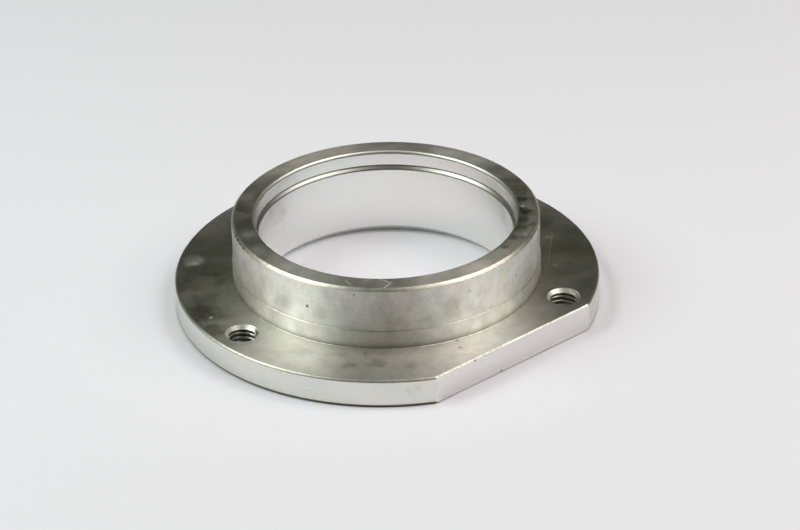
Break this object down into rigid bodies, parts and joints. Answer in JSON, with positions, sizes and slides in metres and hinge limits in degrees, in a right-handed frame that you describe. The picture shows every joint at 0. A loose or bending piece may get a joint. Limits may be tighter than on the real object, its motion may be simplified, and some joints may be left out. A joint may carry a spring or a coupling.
{
  "type": "turned flange ring",
  "caption": "Turned steel ring with a round flange, one milled flat, a raised collar, a stepped bore and tapped, countersunk holes.",
  "frame": {"origin": "on the bore's axis, in the plane of the flange's back face, which is the face the part stands on", "axes": "+Z along the bore axis, from the flange towards the collar's mouth; -Y is the outward normal of the milled flat; one tapped hole lies on -X"},
  "size_m": [0.068, 0.064, 0.0151],
  "materials": {
    "steel": "turned, bare"
  },
  "bodies": {
    "root": {"flange_ring": "steel"}
  },
  "joints": []
}
